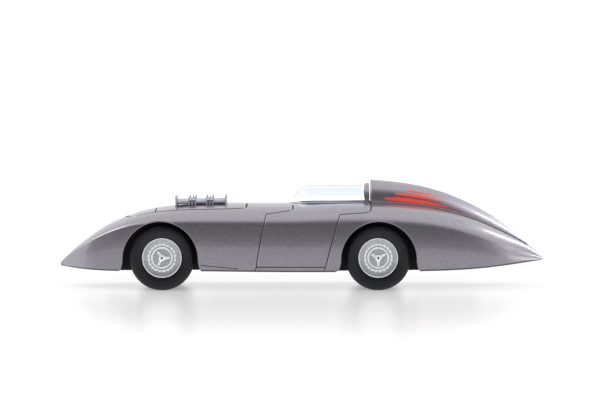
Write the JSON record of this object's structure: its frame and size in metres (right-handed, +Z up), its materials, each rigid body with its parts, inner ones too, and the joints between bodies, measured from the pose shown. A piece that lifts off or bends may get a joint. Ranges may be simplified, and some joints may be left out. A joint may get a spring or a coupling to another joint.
{
  "type": "scale model streamlined record car",
  "caption": "Small-scale model of a long, low streamlined record car with bubble canopy, headrest fairing, bonnet cooler and free-rolling wheels.",
  "frame": {"origin": "on the ground under the middle of the car's bounding box", "axes": "+X from nose to tail, +Y to the car's right side, +Z up"},
  "size_m": [0.121, 0.0364, 0.0268],
  "materials": {
    "body_paint": "metallic silver-grey lacquer with fine flake under clear coat",
    "clear_canopy": "clear moulded canopy, glossy",
    "leather": "dark padded leather, matt",
    "black_chassis": "semi-matt black moulding",
    "steel": "turned steel",
    "black_trim": "gloss black",
    "cooler_metal": "bright blue-grey metal",
    "tyre": "smooth black rubber with a soft sheen",
    "wheel_alloy": "bright silver, machined"
  },
  "bodies": {
    "root": {"body_shell": "body_paint", "headrest_fairing": "body_paint", "cockpit_coaming": "body_paint", "headrest_hoop": "body_paint", "dashboard": "body_paint", "canopy": "clear_canopy", "headrest_pad": "leather", "seat_cushion": "leather", "seat_back": "leather", "base_plate": "black_chassis", "front_axle_clip": "black_chassis", "rear_axle_clip": "black_chassis", "cockpit_tub": "black_chassis", "body_screw_front": "steel", "body_screw_rear": "steel", "steering_column": "steel", "gear_lever": "steel", "steering_wheel": "black_trim", "dash_dial_left": "black_trim", "dash_dial_centre": "black_trim", "dash_dial_right": "black_trim", "cooler_tubes": "cooler_metal", "cooler_header_front": "cooler_metal", "cooler_header_rear": "cooler_metal", "cooler_clamp_front": "cooler_metal", "cooler_clamp_rear": "cooler_metal"},
    "front_wheelset": {"front_axle": "steel", "front_left_tyre": "tyre", "front_left_rim": "wheel_alloy", "front_left_wheel_disc": "wheel_alloy", "front_left_spinner": "wheel_alloy", "front_right_tyre": "tyre", "front_right_rim": "wheel_alloy", "front_right_wheel_disc": "wheel_alloy", "front_right_spinner": "wheel_alloy"},
    "rear_wheelset": {"rear_axle": "steel", "rear_left_tyre": "tyre", "rear_left_rim": "wheel_alloy", "rear_left_wheel_disc": "wheel_alloy", "rear_left_spinner": "wheel_alloy", "rear_right_tyre": "tyre", "rear_right_rim": "wheel_alloy", "rear_right_wheel_disc": "wheel_alloy", "rear_right_spinner": "wheel_alloy"}
  },
  "joints": [
    {"name": "front_axle_spin", "type": "hinge", "parent": "root", "child": "front_wheelset", "pos_m": [-0.0345, 0, 0.008], "axis": [0, 1, 0], "continuous": true},
    {"name": "rear_axle_spin", "type": "hinge", "parent": "root", "child": "rear_wheelset", "pos_m": [0.0187, 0, 0.008], "axis": [0, 1, 0], "continuous": true}
  ]
}
